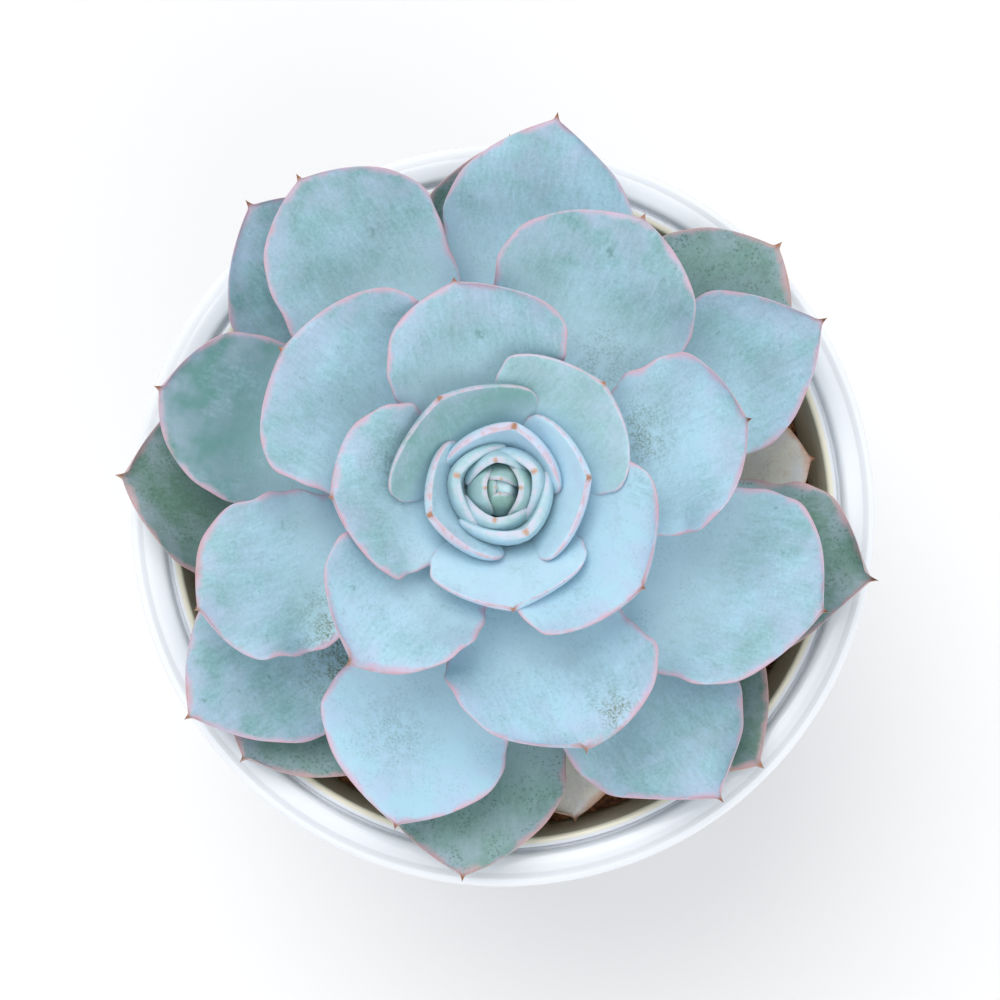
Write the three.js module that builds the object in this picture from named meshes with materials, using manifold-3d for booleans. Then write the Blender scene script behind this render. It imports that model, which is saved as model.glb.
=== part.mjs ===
// A potted rosette succulent: a round plastic pot with a rolled rim band, the soil in it,
// a short stem, and 44 fleshy leaves set round the stem in one long spiral.
// Millimetres, +Z up. The origin is the centre of the pot's flat underside.
import * as THREE from "three";
import { mergeVertices } from "three/addons/utils/BufferGeometryUtils.js";
import Module from "manifold-3d";

const wasm = await Module();
wasm.setup();

// ---- driving dimensions ----

// Pot
const rimRadius = 55; // outside of the rim band
const rimBandWidth = 5.2; // the rounded band seen from above
const rimSkirtHeight = 14; // how far the band's outside hangs down
const rimRoundOver = 2.2; // rounding of the band's two top edges
const ledgeWidth = 1.7; // narrow step just inside the band
const ledgeDrop = 1.4; // how far the step lies below the band's top
const potHeight = 88;
const baseRadius = 38;
const baseChamfer = 1.5;
const wallThickness = 1.6;
const floorThickness = 2.2;
const drainHoleRadius = 3;
const drainHoleCount = 8;
const drainHoleCircle = 24; // radius of the circle that the holes lie on

// Soil
const soilDrop = 14; // soil's edge below the rim's top
const soilMound = 1; // extra height in the middle
const fitGap = 0.3; // left between pieces that touch

// Stem, and where its axis stands against the pot's
const plantOffset = new THREE.Vector2(-0.5, 1.2);
const stemRadius = 5;
const stemTipRadius = 0.2;
const stemBuried = 9; // length below the soil's top

// Leaves, counted from the youngest in the middle to the oldest outside
const leafCount = 44;
const taperCount = 20; // leaves that stand on the stem's tapering tip
const witheredCount = 3; // oldest leaves, shrunken and lying inside the pot
const spiralStart = 151.4; // degrees, counter-clockwise from +X
const spiralTurn = 137; // degrees from each leaf to the next older one
const rosetteReach = 57.5; // stem axis to a full-grown leaf's tip
const halfGrownLeaf = 17.6; // the leaf that reaches half as far
const reachSpread = 4.4; // how gradually the reach grows, in leaves
const leafHalfWidth = 13.6; // a full-grown leaf at its widest
const leafThickness = 3.3; // a full-grown leaf's fleshy middle
const halfGrownThickness = 2.4; // the middle of a leaf in mid spiral
const leafFootThickness = 1.95; // an old leaf where it leaves the stem
const youngFootThickness = 0.75; // a young leaf's foot on the stem's thin tip
const budThickness = 0.4; // the youngest leaf, foot and middle alike
const footWidthShare = 0.25; // foot's width over the leaf's greatest width
const widestAt = 0.7; // along the leaf, as a share of its length
const tipThinning = 0.8; // share of its thickness that a leaf loses towards its tip
const curlLimit = 1.7; // radians that a leaf's margin may curl about its midrib
const cupDepth = 1.6; // how far an old leaf's margins stand above its middle
const youngCupExtra = 2; // added to the cup of half-grown leaves
const oldLeafBow = 0.05; // how far the midrib sags, as a share of the leaf's length
const budLeafBow = 0.12; // the same for the youngest leaves
const openLeafRise = 8.2; // how much more a half-grown leaf rises than an old one
const leafGap = 0.3; // clearance between leaves that lie on each other
const rimClearance = 0.5; // between the rim's top and the lowest leaf that crosses it
const witheredHalfWidth = 12;
const witheredRise = 7.5;
const witheredWallGap = 0.8; // between a withered leaf's tip and the pot's inner wall

// Each leaf's own small departures from the even spiral, as one plant grew them.
// Degrees of turn, youngest leaf first.
const turnNudges = [
  25, -14, 14, -22, 20, -18, 8, -5, -3, -4, -5, -16, 10, -8, 7, -2, 1, 4, 5, -5, -1, -1,
  -1, 0, 2, 0, 9, 0, 1, -2, 3, 3, 0, -8, 1, -2, -1, -4, -3, -6, -6, 0, 12, 1,
];
// Millimetres of reach, for leaves that grew longer or shorter than their neighbours.
const reachNudges = new Map([
  [18, -2], [19, -1.5], [20, -1], [22, -3], [23, -3.5], [25, -1], [27, 3], [28, -2.5],
  [29, 1], [30, -1.5], [36, -1], [37, -1], [38, -1], [39, -2.5], [40, -3], [41, -3.5],
]);
// Share of the usual width, for the broad and the narrow ones.
const widthShares = new Map([
  [15, 0.94], [16, 0.89], [17, 0.95], [21, 0.95], [22, 1.1], [23, 1.09], [24, 1.11],
  [25, 0.9], [26, 1.09], [29, 0.88], [30, 0.92], [38, 1.05], [39, 0.94],
]);
// Millimetres that the end of the leaf leans sideways, counter-clockwise.
const endLeans = new Map([
  [21, 3], [23, 2.5], [26, 3], [28, 2], [31, 1.5], [34, 3],
]);
const bluntLeaves = new Set([21, 22, 23, 25, 27, 30]);
const pointedLeaves = new Set([28, 29, 31, 32, 33, 34, 39]);

// Mesh fineness
const potSegments = 60;
const roundOverSteps = 4;
const leafRows = 8;
const leafColumns = 6;

// ---- worked-out places ----

const mouthRadius = rimRadius - rimBandWidth - ledgeWidth;
const soilTop = potHeight - soilDrop + soilMound;

// The leaf that stands over a leaf's foot is the third younger one, so each foot takes a
// third of the height that a leaf and its clearance need.
const footPitch = (leafFootThickness + leafGap) / 3;
const youngFootPitch = (youngFootThickness + leafGap) / 3;
const oldestFootHeight = soilTop + leafFootThickness / 2 + 2 * leafGap;

// ---- helpers ----

const finish = (color, roughness) =>
  new THREE.MeshStandardMaterial({ color, roughness, metalness: 0 });

function piece(name, geometry, material) {
  const mesh = new THREE.Mesh(geometry, material);
  mesh.name = name;
  return mesh;
}

// A profile of (radius, height) points turned once about the Z axis.
function turned(profile, segments) {
  return new THREE.LatheGeometry(profile, segments).rotateX(Math.PI / 2);
}

// A closed geometry as a manifold-3d solid.
function solidOf(geometry) {
  const bare = geometry.index ? geometry.toNonIndexed() : geometry.clone();
  bare.deleteAttribute("normal");
  bare.deleteAttribute("uv");
  const merged = mergeVertices(bare, 1e-4);
  return new wasm.Manifold(
    new wasm.Mesh({
      numProp: 3,
      vertProperties: new Float32Array(merged.attributes.position.array),
      triVerts: new Uint32Array(merged.index.array),
    }),
  );
}

function geometryOf(solid) {
  const { vertProperties, triVerts } = solid.getMesh();
  const geometry = new THREE.BufferGeometry();
  geometry.setAttribute("position", new THREE.BufferAttribute(vertProperties, 3));
  geometry.setIndex(new THREE.BufferAttribute(triVerts, 1));
  geometry.computeVertexNormals();
  return geometry;
}

const mix = (a, b, t) => a + (b - a) * t;

const easeBetween = (t, low, high) => THREE.MathUtils.smoothstep(t, low, high);

// Bell curve: 1 at the middle, falling away over the spread.
const bell = (t, middle, spread) => Math.exp(-(((t - middle) / spread) ** 2));

// ---- pot ----

// Inner face of the tapered wall at a height.
function innerWallRadius(height) {
  const t = (height - floorThickness) / (potHeight - ledgeDrop - floorThickness);
  return mix(baseRadius - wallThickness, mouthRadius, t);
}

// A quarter circle from one angle to the next, in degrees, as profile points.
function roundOver(centreX, centreY, radius, fromDegrees, toDegrees) {
  const points = [];
  for (let step = 0; step <= roundOverSteps; step += 1) {
    const degrees = mix(fromDegrees, toDegrees, step / roundOverSteps);
    const angle = THREE.MathUtils.degToRad(degrees);
    const x = centreX + radius * Math.cos(angle);
    const y = centreY + radius * Math.sin(angle);
    points.push(new THREE.Vector2(x, y));
  }
  return points;
}

function potProfile() {
  const bandUnderside = potHeight - rimRoundOver - wallThickness / 2;
  const skirtBottom = potHeight - rimSkirtHeight;
  const bandInner = rimRadius - rimBandWidth;
  const roundOverHeight = potHeight - rimRoundOver;
  const innerRoundOver = Math.min(rimRoundOver, ledgeDrop);
  return [
    new THREE.Vector2(0, 0),
    new THREE.Vector2(baseRadius - baseChamfer, 0),
    new THREE.Vector2(baseRadius, baseChamfer),
    new THREE.Vector2(innerWallRadius(bandUnderside) + wallThickness, bandUnderside),
    new THREE.Vector2(rimRadius - wallThickness, bandUnderside),
    new THREE.Vector2(rimRadius - wallThickness, skirtBottom),
    new THREE.Vector2(rimRadius, skirtBottom),
    ...roundOver(rimRadius - rimRoundOver, roundOverHeight, rimRoundOver, 0, 90),
    ...roundOver(
      bandInner + innerRoundOver,
      potHeight - innerRoundOver,
      innerRoundOver,
      90,
      180,
    ),
    new THREE.Vector2(mouthRadius, potHeight - ledgeDrop),
    new THREE.Vector2(innerWallRadius(floorThickness), floorThickness),
    new THREE.Vector2(0, floorThickness),
  ];
}

function makePot() {
  let pot = solidOf(turned(potProfile(), potSegments));
  for (let hole = 0; hole < drainHoleCount; hole += 1) {
    const angle = (hole / drainHoleCount) * 2 * Math.PI;
    const drill = new THREE.CylinderGeometry(
      drainHoleRadius,
      drainHoleRadius,
      3 * floorThickness,
      16,
    );
    drill.rotateX(Math.PI / 2);
    drill.translate(
      drainHoleCircle * Math.cos(angle),
      drainHoleCircle * Math.sin(angle),
      floorThickness / 2,
    );
    pot = pot.subtract(solidOf(drill));
  }
  return piece("pot", geometryOf(pot), finish(0xf2f3f7, 0.25));
}

// ---- soil ----

function makeSoil() {
  const bottom = floorThickness + fitGap;
  const edgeTop = potHeight - soilDrop;
  const shoulder = 0.6;
  const profile = [
    new THREE.Vector2(0, bottom),
    new THREE.Vector2(innerWallRadius(bottom) - fitGap, bottom),
    new THREE.Vector2(innerWallRadius(edgeTop) - fitGap, edgeTop),
    new THREE.Vector2(
      shoulder * innerWallRadius(edgeTop),
      mix(edgeTop, soilTop, 1 - shoulder ** 2),
    ),
    new THREE.Vector2(0, soilTop),
  ];
  const pitRadius = stemRadius + fitGap;
  const pitDepth = stemBuried + fitGap;
  const pit = new THREE.CylinderGeometry(pitRadius, pitRadius, 2 * pitDepth, 24);
  pit.rotateX(Math.PI / 2);
  pit.translate(plantOffset.x, plantOffset.y, soilTop);
  const soil = solidOf(turned(profile, potSegments)).subtract(solidOf(pit));
  return piece("soil", geometryOf(soil), finish(0x4a3024, 0.95));
}

// ---- stem ----

// Height at which a leaf leaves the stem. Leaf 1 is the youngest.
function footHeight(leaf) {
  const taperTopDown = Math.max(taperCount + 1 - leaf, 0);
  const fullPitches = leafCount - Math.max(leaf, taperCount + 1);
  return oldestFootHeight + fullPitches * footPitch + taperTopDown * youngFootPitch;
}

// Stem's radius where that leaf leaves it.
function stemRadiusAt(leaf) {
  const t = Math.min((leaf - 1) / taperCount, 1);
  return mix(stemTipRadius, stemRadius, t);
}

// The lowest leaf that crosses the rim sets how steeply all the old leaves rise. Its
// midrib hangs below the straight line from foot to tip, and it thins towards the tip.
function oldLeafRise() {
  const length = rosetteReach - stemRadius;
  const run = rimRadius - rimBandWidth - stemRadius;
  const share = run / length;
  const sag = 4 * oldLeafBow * length * share * (1 - share);
  const halfAtRim = leafThickness / 4;
  const crossingHeight = potHeight + rimClearance + halfAtRim + sag;
  const climb = crossingHeight - footHeight(leafCount - witheredCount);
  return length * (climb / run);
}

function makeStem() {
  const profile = [
    new THREE.Vector2(0, soilTop - stemBuried),
    new THREE.Vector2(stemRadius, soilTop - stemBuried),
    new THREE.Vector2(stemRadius, footHeight(taperCount + 1)),
    new THREE.Vector2(stemTipRadius, footHeight(1)),
    new THREE.Vector2(0, footHeight(1)),
  ];
  return piece("stem", turned(profile, 20), finish(0x8c9a78, 0.8));
}

// ---- leaves ----

// Everything that one leaf's shape depends on, from its place in the spiral.
function leafPlan(leaf) {
  const withered = leaf > leafCount - witheredCount;
  const age = leaf - 1;
  const grown = 1 / (1 + Math.exp(-(age - halfGrownLeaf) / reachSpread));
  const widthShare = 1 - Math.exp(-(((age + 0.5) / 9.6) ** 1.9));
  const footThickness =
    mix(budThickness, youngFootThickness, easeBetween(age, 0, 14)) +
    mix(0, leafFootThickness - youngFootThickness, easeBetween(age, 14, 24));
  const foot = new THREE.Vector2(
    stemRadiusAt(leaf) + leafGap + footThickness / 4,
    footHeight(leaf),
  );
  const tip = new THREE.Vector2(
    rosetteReach * grown + (reachNudges.get(leaf) ?? 0),
    foot.y + oldLeafRise() + openLeafRise * bell(age, 16.5, 6.5),
  );
  const azimuth = THREE.MathUtils.degToRad(
    spiralStart + spiralTurn * age + turnNudges[age],
  );
  if (withered) {
    const direction = new THREE.Vector2(Math.cos(azimuth), Math.sin(azimuth));
    tip.y = foot.y + witheredRise;
    tip.x = innerWallRadius(tip.y) - witheredWallGap - plantOffset.dot(direction);
  }
  const usualHalfWidth = withered ? witheredHalfWidth : leafHalfWidth * widthShare;
  return {
    foot,
    tip,
    azimuth,
    halfWidth: usualHalfWidth * (widthShares.get(leaf) ?? 1),
    lean: endLeans.get(leaf) ?? 0,
    bluntness: bluntLeaves.has(leaf) ? 0.85 : pointedLeaves.has(leaf) ? 0.1 : 0.45,
    bow: mix(oldLeafBow, budLeafBow, bell(age, 0, 14)),
    cup: (cupDepth + youngCupExtra * bell(age, 19, 6)) * easeBetween(age, 13, 20),
    footThickness,
    middleThickness:
      mix(budThickness, halfGrownThickness, widthShare ** 2) +
      mix(0, leafThickness - halfGrownThickness, easeBetween(age, 14, 24)),
  };
}

// Half width along the leaf, as a share of its greatest: a narrow foot, a wedge that
// opens to the widest place, then an end that closes to a point.
function outline(plan, along) {
  if (along < widestAt) {
    const opening = Math.sin((Math.PI / 2) * (along / widestAt)) ** 1.4;
    return mix(footWidthShare, 1, opening);
  }
  const toTip = (along - widestAt) / (1 - widestAt);
  return (1 - toTip ** mix(1.6, 2.8, plan.bluntness)) ** mix(1, 0.7, plan.bluntness);
}

// Thickness along the midrib.
function thicknessAlong(plan, along) {
  const fleshy = mix(plan.footThickness, plan.middleThickness, easeBetween(along, 0, 0.35));
  return fleshy * (1 - tipThinning * easeBetween(along, 0.5, 1));
}

// The midrib is a parabola from foot to tip that hangs below the straight line between
// them. Gives the point and the slope there, as (distance from the axis, height).
function midrib(plan, along) {
  const chord = plan.tip.clone().sub(plan.foot);
  const sag = new THREE.Vector2(chord.y, -chord.x).multiplyScalar(2 * plan.bow);
  const middle = plan.foot.clone().addScaledVector(chord, 0.5).add(sag);
  const curve = new THREE.QuadraticBezierCurve(plan.foot, middle, plan.tip);
  return { point: curve.getPoint(along), tangent: curve.getTangent(along) };
}

// The leaf's face and back at one row. Each section across the leaf is an arc that curls
// about the stem's axis, and more tightly by the leaf's own cup.
function leafSection(plan, along) {
  const { point, tangent } = midrib(plan, along);
  const round = Math.max(tangent.y, 0) / Math.max(point.x, 0.6);
  const cupped = (2 * plan.cup) / plan.halfWidth ** 2;
  const curlRadius = 1 / (round + cupped + 1e-4);
  const halfWidth = plan.halfWidth * outline(plan, along);
  const leaning = plan.lean * easeBetween(along, 0.45, 1);
  const thickness = thicknessAlong(plan, along);
  const face = [];
  const back = [];
  for (let column = 0; column <= leafColumns; column += 1) {
    const across = -Math.cos((Math.PI * column) / leafColumns);
    const curl = THREE.MathUtils.clamp(
      (across * halfWidth) / curlRadius,
      -curlLimit,
      curlLimit,
    );
    const lift = curlRadius * (1 - Math.cos(curl));
    const middle = new THREE.Vector3(
      point.x - tangent.y * lift,
      curlRadius * Math.sin(curl) + leaning,
      point.y + tangent.x * lift - plan.foot.y,
    );
    const faceNormal = new THREE.Vector3(
      -tangent.y * Math.cos(curl),
      -Math.sin(curl),
      tangent.x * Math.cos(curl),
    );
    const half = (thickness / 2) * (1 - Math.abs(across) ** 2.6) ** 0.75;
    face.push(middle.clone().addScaledVector(faceNormal, half));
    back.push(middle.clone().addScaledVector(faceNormal, -half));
  }
  return { face, back };
}

function leafGeometry(plan) {
  const triangles = [];
  const quad = (a, b, c, d) => triangles.push(a, b, c, a, c, d);
  const sections = [];
  for (let row = 0; row < leafRows; row += 1) {
    const along = Math.sin(((Math.PI / 2) * row) / leafRows) ** 1.15;
    sections.push(leafSection(plan, along));
  }
  const tip = leafSection(plan, 1).face[leafColumns / 2];
  const footSection = sections[0];
  const lastSection = sections[leafRows - 1];
  for (let column = 0; column < leafColumns; column += 1) {
    const next = column + 1;
    for (let row = 0; row < leafRows - 1; row += 1) {
      const low = sections[row];
      const high = sections[row + 1];
      quad(low.face[column], high.face[column], high.face[next], low.face[next]);
      quad(low.back[next], high.back[next], high.back[column], low.back[column]);
    }
    triangles.push(lastSection.face[column], tip, lastSection.face[next]);
    triangles.push(lastSection.back[next], tip, lastSection.back[column]);
    quad(
      footSection.face[column],
      footSection.face[next],
      footSection.back[next],
      footSection.back[column],
    );
  }
  const corners = triangles.flatMap((corner) => corner.toArray());
  const soup = new THREE.BufferGeometry();
  soup.setAttribute("position", new THREE.Float32BufferAttribute(corners, 3));
  return geometryOf(solidOf(soup));
}

function makeLeaf(leaf) {
  const plan = leafPlan(leaf);
  const old = easeBetween(leaf, 20, leafCount);
  const color = new THREE.Color(0xa9c9d6).lerp(new THREE.Color(0x6f9a9c), old);
  const name = `leaf_${String(leaf).padStart(2, "0")}`;
  const mesh = piece(name, leafGeometry(plan), finish(color, 0.6));
  mesh.position.z = plan.foot.y;
  mesh.rotation.z = plan.azimuth;
  return mesh;
}

// ---- the whole object ----

const plant = new THREE.Group();
plant.position.set(plantOffset.x, plantOffset.y, 0);
plant.add(makeStem());
for (let leaf = 1; leaf <= leafCount; leaf += 1) {
  plant.add(makeLeaf(leaf));
}

const pottedSucculent = new THREE.Group();
pottedSucculent.add(makePot(), makeSoil(), plant);

export default pottedSucculent;
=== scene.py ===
# %% [markdown]
# # A potted rosette succulent
# The plant is one long spiral of fleshy leaves on a short stem, each leaf a turn of about
# 137 degrees from the last, in a round white plastic pot with a rolled rim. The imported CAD
# model gives every place and size. This script gives each piece its fine shape and finish.
# Everything is in metres, with the pot's underside on the floor at the origin.

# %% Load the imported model
import math

import bpy
import numpy as np
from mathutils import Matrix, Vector


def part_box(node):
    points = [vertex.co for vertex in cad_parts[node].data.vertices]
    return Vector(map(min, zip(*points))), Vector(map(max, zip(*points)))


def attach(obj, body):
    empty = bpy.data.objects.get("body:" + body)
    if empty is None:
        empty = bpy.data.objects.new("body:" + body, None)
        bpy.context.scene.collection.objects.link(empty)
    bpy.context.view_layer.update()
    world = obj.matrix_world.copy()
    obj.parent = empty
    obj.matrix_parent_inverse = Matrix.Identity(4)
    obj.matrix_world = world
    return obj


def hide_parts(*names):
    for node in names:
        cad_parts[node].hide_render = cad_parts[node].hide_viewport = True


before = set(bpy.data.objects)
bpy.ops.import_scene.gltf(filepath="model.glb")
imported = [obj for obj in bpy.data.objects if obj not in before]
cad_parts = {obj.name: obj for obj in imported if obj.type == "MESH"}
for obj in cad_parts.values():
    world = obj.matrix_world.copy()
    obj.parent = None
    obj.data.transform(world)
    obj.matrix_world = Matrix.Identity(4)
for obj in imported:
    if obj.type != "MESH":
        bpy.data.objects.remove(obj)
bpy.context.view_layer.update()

MM = 0.001
pot_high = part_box("pot")[1]

# %% [markdown]
# ## Camera
# The plant is looked at almost straight down, leaning a few degrees towards the front, from
# about an arm's length. A long lens at that distance keeps the rim nearly a true circle.
# The camera looks at a point on the rim's plane, and +Y is up in the picture.

# %% Camera
VIEW_LEAN = math.radians(5)  # from straight down, towards -Y
VIEW_DISTANCE = 450 * MM
VIEW_WIDTH = 147.3 * MM  # what the picture spans across at the rim
SENSOR = 36.0
LOOK_X, LOOK_Y = -0.44, 1.62  # the middle of the picture, in millimetres from the pot's axis
look_at = Vector((LOOK_X * MM, LOOK_Y * MM, pot_high.z))

camera_data = bpy.data.cameras.new("camera")
camera_data.sensor_width = SENSOR
camera_data.lens = SENSOR * VIEW_DISTANCE / VIEW_WIDTH
camera_data.clip_start, camera_data.clip_end = 0.01, 20
camera = bpy.data.objects.new("camera", camera_data)
bpy.context.scene.collection.objects.link(camera)
camera.location = look_at + VIEW_DISTANCE * Vector(
    (0, -math.sin(VIEW_LEAN), math.cos(VIEW_LEAN))
)
camera.rotation_euler = (VIEW_LEAN, 0, 0)
bpy.context.scene.camera = camera
print("lens", round(camera_data.lens, 1), "mm, camera at", tuple(camera.location))

# %% [markdown]
# ## Light
# A high-key studio: an even white surround, one large soft light from the back left, and
# a weaker one from the front right. Wide sources give the soft shading of a bright window,
# and lamps as far off as the sun light the whole floor evenly. The plain view transform
# shows the colours as they are, with no film-like curve over them.

# %% Surround and soft lights
SURROUND_STRENGTH = 0.88
scene = bpy.context.scene
scene.view_settings.view_transform = "Standard"
scene.world = bpy.data.worlds.new("studio")
scene.world.use_nodes = True
surround = scene.world.node_tree.nodes["Background"]
surround.inputs["Color"].default_value = (0.98, 0.99, 1.0, 1)
surround.inputs["Strength"].default_value = SURROUND_STRENGTH


def soft_light(name, source, spread, strength, tint):
    """A sun lamp that shines from that direction. Its spread, the angle it fills in the
    sky, makes its shadows as soft as those of a large softbox."""
    data = bpy.data.lights.new(name, "SUN")
    data.angle, data.energy, data.color = math.radians(spread), strength, tint
    light = bpy.data.objects.new(name, data)
    scene.collection.objects.link(light)
    light.location = Vector(source)
    light.rotation_euler = (-Vector(source)).to_track_quat("-Z", "Y").to_euler()


soft_light("key", (-0.24, 0.46, 1.0), 40, 1.3, (1.0, 0.99, 0.97))
soft_light("fill", (0.35, -0.7, 1.0), 40, 0.5, (0.98, 0.99, 1.0))

# %% [markdown]
# ## Helpers for surfaces
# Every new piece is a grid of points worked out at once with numpy: rows along the piece,
# columns round it. One helper turns such a tube of points into a closed mesh. The two ends
# are closed by a pole, a single point that all of the last row's faces meet in.


# %% Closed tube from rows of points
def link_mesh(name, points, quads, triangles, smooth=True):
    """Puts points (n, 3) and faces, given as rows of corner numbers, into a new object."""
    corners = np.concatenate([quads.ravel(), triangles.ravel()]).astype(np.int32)
    starts = np.concatenate(
        [np.arange(len(quads)) * 4, len(quads) * 4 + np.arange(len(triangles)) * 3]
    )
    mesh = bpy.data.meshes.new(name)
    mesh.vertices.add(len(points))
    mesh.vertices.foreach_set("co", points.astype(np.float32).ravel())
    mesh.loops.add(len(corners))
    mesh.loops.foreach_set("vertex_index", corners)
    mesh.polygons.add(len(starts))
    mesh.polygons.foreach_set("loop_start", starts.astype(np.int32))
    mesh.update(calc_edges=True)
    mesh.polygons.foreach_set("use_smooth", np.full(len(starts), smooth))
    piece = bpy.data.objects.new(name, mesh)
    scene.collection.objects.link(piece)
    return piece


def tube_faces(rows, columns):
    """Faces of a tube of rows x columns points, closed round the columns. The two poles are
    the last two points: the first row's, then the last row's."""
    corner = np.arange(rows * columns).reshape(rows, columns)
    after = np.roll(corner, -1, axis=1)
    quads = np.stack([corner[:-1], after[:-1], after[1:], corner[1:]], -1).reshape(-1, 4)
    start_pole = np.full(columns, rows * columns)
    first = np.stack([after[0], corner[0], start_pole], -1)
    last = np.stack([corner[-1], after[-1], start_pole + 1], -1)
    return quads, np.concatenate([first, last])


def enclosed_volume(points, quads, triangles):
    """Sum over the faces of a . (b x c) / 6, which is above zero when they point outwards."""
    every = np.concatenate([quads[:, [0, 1, 2]], quads[:, [0, 2, 3]], triangles])
    a, b, c = (points[every[:, k]] for k in range(3))
    return np.einsum("ij,ij->i", a, np.cross(b, c)).sum() / 6


def tube(name, grid, start_pole, end_pole, smooth=True):
    """A closed mesh from grid (rows, columns, 3) and its two poles, facing outwards."""
    rows, columns = grid.shape[:2]
    points = np.concatenate([grid.reshape(-1, 3), [start_pole], [end_pole]])
    quads, triangles = tube_faces(rows, columns)
    if enclosed_volume(points - points.mean(0), quads, triangles) < 0:
        quads, triangles = quads[:, ::-1], triangles[:, ::-1]
    return link_mesh(name, points, quads, triangles, smooth)


def set_attribute(piece, name, values):
    """Stores one number per point of the mesh, for its material to read."""
    attribute = piece.data.attributes.new(name, "FLOAT", "POINT")
    attribute.data.foreach_set("value", np.asarray(values, np.float32).ravel())


def place(piece, slot, *nodes):
    """The piece moves with the one body and stands for those CAD nodes. The slot is not used."""
    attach(piece, "root")
    if nodes:
        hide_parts(*nodes)
    return piece


# %% Curves that shapes are made from
def mix(low, high, share):
    """low + (high - low) * share: a straight line from low to high."""
    return low + (high - low) * share


def ease(value, low, high):
    """Smooth step: 0 below low, 1 above high, 3t^2 - 2t^3 between."""
    t = np.clip((value - low) / (high - low), 0, 1)
    return t * t * (3 - 2 * t)


def bell(value, middle, spread):
    """exp(-((value - middle) / spread)^2): 1 at the middle, falling away over the spread."""
    return np.exp(-(((value - middle) / spread) ** 2))


print("a smooth step in quarters:", ease(np.linspace(0, 1, 5), 0, 1).round(3))

# %% [markdown]
# ## The rosette's plan
# A rosette grows from the middle, so a leaf's number is its age: leaf 1 is the youngest.
# Reach, width and thickness all grow with age along smooth curves, in millimetres, and each
# leaf has its own small departures, as the CAD model gives them. The three oldest have
# withered and lie inside the pot.

# %% Sizes shared with the CAD model, in millimetres
RIM_RADIUS, RIM_BAND, LEDGE_WIDTH, LEDGE_DROP = 55, 5.2, 1.7, 1.4
POT_HEIGHT, BASE_RADIUS, WALL, FLOOR = 88, 38, 1.6, 2.2
SOIL_DROP, SOIL_MOUND, FIT_GAP = 14, 1, 0.3
PLANT_X, PLANT_Y = -0.5, 1.2
STEM_RADIUS, STEM_TIP, STEM_BURIED = 5, 0.2, 9
LEAF_COUNT, TAPER_COUNT, WITHERED_COUNT = 44, 20, 3
FOOT_THICKNESS, YOUNG_FOOT, BUD_THICKNESS, LEAF_THICKNESS = 1.95, 0.75, 0.4, 3.3
MOUTH_RADIUS = RIM_RADIUS - RIM_BAND - LEDGE_WIDTH
SOIL_TOP = POT_HEIGHT - SOIL_DROP + SOIL_MOUND
LEAF_GAP, ROSETTE_REACH, OLD_BOW, WIDEST_AT = 0.3, 57.5, 0.05, 0.7
LEAF_HALF_WIDTH, WITHERED_HALF_WIDTH = 13.6, 12
FIRST_AZIMUTH, SPIRAL_TURN = 151.4, 137  # degrees
RIM_CLEARANCE, WALL_CLEARANCE, WITHERED_RISE = 0.5, 0.8, 7.5

turn_nudges = [
    25, -14, 14, -22, 20, -18, 8, -5, -3, -4, -5, -16, 10, -8, 7, -2, 1, 4, 5, -5, -1, -1,
    -1, 0, 2, 0, 9, 0, 1, -2, 3, 3, 0, -8, 1, -2, -1, -4, -3, -6, -6, 0, 12, 1,
]
reach_nudges = {
    18: -2, 19: -1.5, 20: -1, 22: -3, 23: -3.5, 25: -1, 27: 3, 28: -2.5, 29: 1,
    30: -1.5, 36: -1, 37: -1, 38: -1, 39: -2.5, 40: -3, 41: -3.5,
}
width_shares = {
    15: 0.94, 16: 0.89, 17: 0.95, 21: 0.95, 22: 1.1, 23: 1.09, 24: 1.11, 25: 0.9,
    26: 1.09, 29: 0.88, 30: 0.92, 38: 1.05, 39: 0.94,
}
end_leans = {21: 3, 23: 2.5, 26: 3, 28: 2, 31: 1.5, 34: 3}
# Extra half width in millimetres of the blade's outer part, counter-clockwise and
# clockwise side, and extra reach, for leaves that grew unevenly
side_fullness = {
    12: (-0.6, -0.8), 13: (-0.8, 0.4), 14: (2.2, 0.5), 16: (1.7, 1.2), 17: (-0.2, 1.5),
    18: (2.1, 2.4), 19: (0.2, 2.2), 20: (-1.5, 0.2), 21: (0.8, 1.8), 22: (1.8, 2.6),
    23: (0, 1.4), 24: (1.5, 0), 26: (0.2, 1.4), 27: (-0.8, 1.6), 28: (0, 1.5), 32: (1.1, 0.5),
}
extra_reach = {19: 1.2, 22: 0.5, 25: 0.7, 26: 1, 27: 1.4, 28: 1, 32: 1.8, 35: 1}
# How much wavier than its neighbours a leaf's margins are
waviness = {17: 1.6, 20: 1.8, 21: 1.7, 23: 1.4, 25: 2.4, 26: 1.3, 31: 1.5, 34: 1.6, 38: 1.5}
blunt_leaves = {21, 22, 23, 25, 27, 30}
pointed_leaves = {28, 29, 31, 32, 33, 34, 39}
print("mouth radius", round(MOUTH_RADIUS, 1), "mm, soil top at", SOIL_TOP, "mm")


# %% Where each leaf starts, ends, and how it is formed
MIDDLE_RISE, BUD_SINK, YOUNG_REACH = 8.2, 2.0, 1.4  # what bells of age add to a leaf's tip
BUD_WIDENING, YOUNG_WIDENING = 1.7, 2.0  # and to its half width
BLUNT, PLAIN, POINTED = 0.85, 0.45, 0.1  # how squarely the blade closes


def inner_wall(height):
    """Radius of the pot's inner face: a straight taper from the floor to the mouth."""
    return mix(
        BASE_RADIUS - WALL, MOUTH_RADIUS, (height - FLOOR) / (POT_HEIGHT - LEDGE_DROP - FLOOR)
    )


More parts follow.
